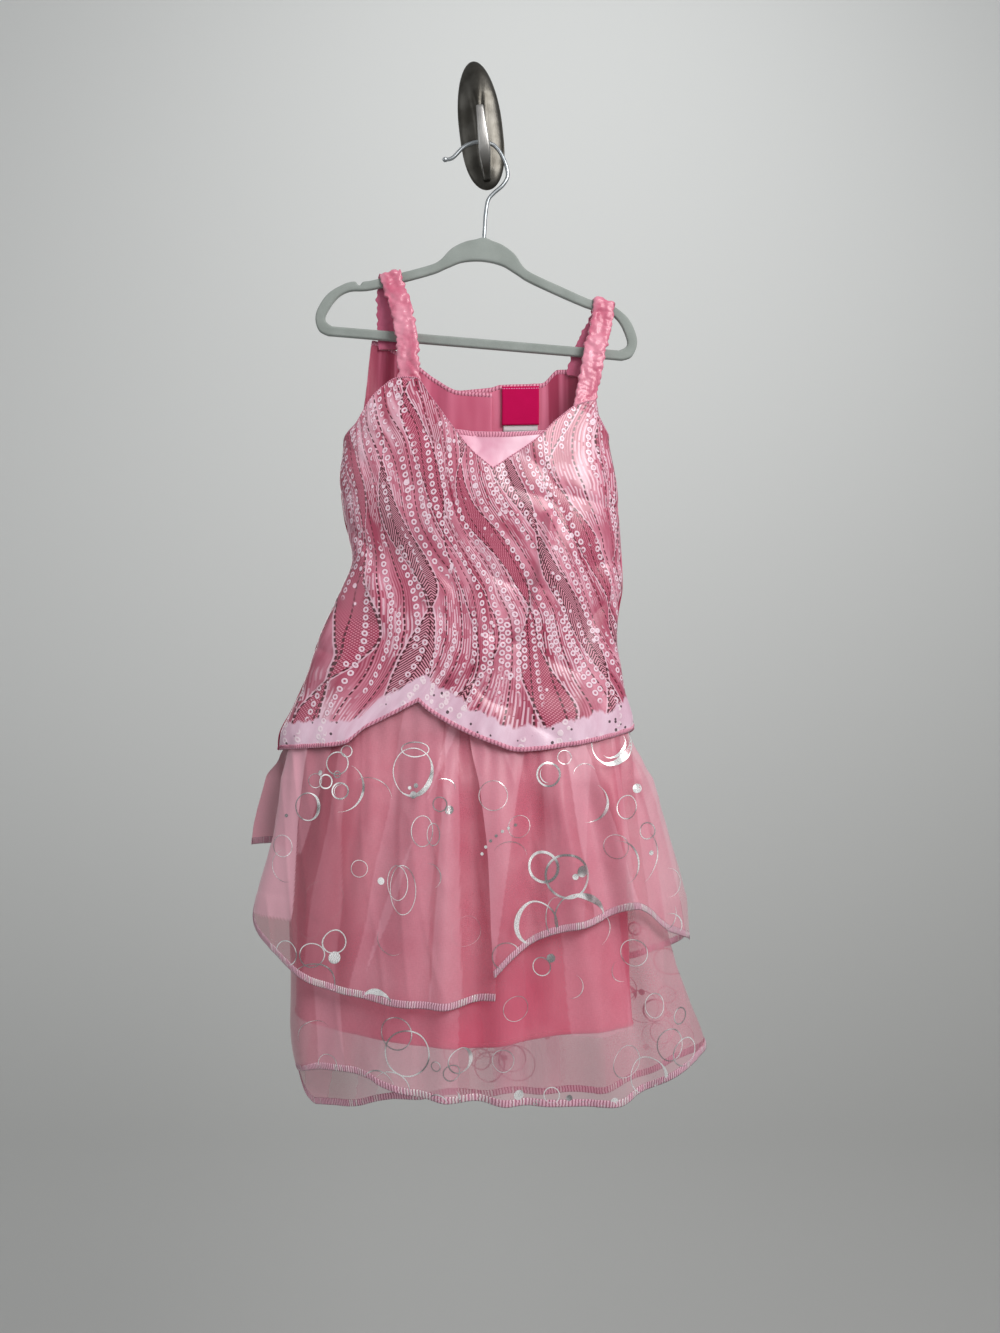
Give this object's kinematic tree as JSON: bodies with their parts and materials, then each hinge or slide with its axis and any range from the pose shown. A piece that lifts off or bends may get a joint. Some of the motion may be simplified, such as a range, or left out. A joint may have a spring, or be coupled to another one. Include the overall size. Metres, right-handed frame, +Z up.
{
  "type": "child's costume dress on hanger and wall hook",
  "caption": "Child's costume dress with printed satin bodice and sheer tiered skirt, hanging on a flocked hanger from a wall hook.",
  "frame": {"origin": "middle of the wall hook's flat back face, which lies on the wall", "axes": "+Z up, +Y into the wall, -Y out of the front of the dress, +X to the viewer's right as the picture shows it"},
  "size_m": [0.3907, 0.118, 0.9226],
  "materials": {
    "pewter": "glossy dark pewter",
    "grey_flock": "short velvet flock over a plastic core",
    "zinc_wire": "polished wire",
    "printed_satin": "printed satin",
    "back_satin": "plain pink satin, smooth",
    "pale_satin": "plain satin",
    "pink_organza": "sheer organza with foil print",
    "coral_knit": "matte knit",
    "hot_pink_tag": "woven ribbon",
    "white_tag": "woven ribbon",
    "pink_tape": "hook and loop tape"
  },
  "bodies": {
    "root": {"wall_hook": "pewter", "hanger_frame": "grey_flock", "hanger_hook": "zinc_wire", "bodice_front": "printed_satin", "bodice_back_left": "back_satin", "bodice_back_right": "back_satin", "neck_inset": "pale_satin", "strap_left": "pale_satin", "strap_right": "pale_satin", "underskirt_front": "coral_knit", "underskirt_back": "coral_knit", "lower_tier_front": "pink_organza", "lower_tier_back": "pink_organza", "upper_tier_left": "pink_organza", "upper_tier_right": "pink_organza", "upper_tier_back": "pink_organza", "care_label": "white_tag", "label_tab": "hot_pink_tag", "loop_tab_1": "pink_tape", "loop_tab_2": "pink_tape", "loop_tab_3": "pink_tape", "hook_tab_1": "pink_tape", "hook_tab_2": "pink_tape", "hook_tab_3": "pink_tape"}
  },
  "joints": []
}
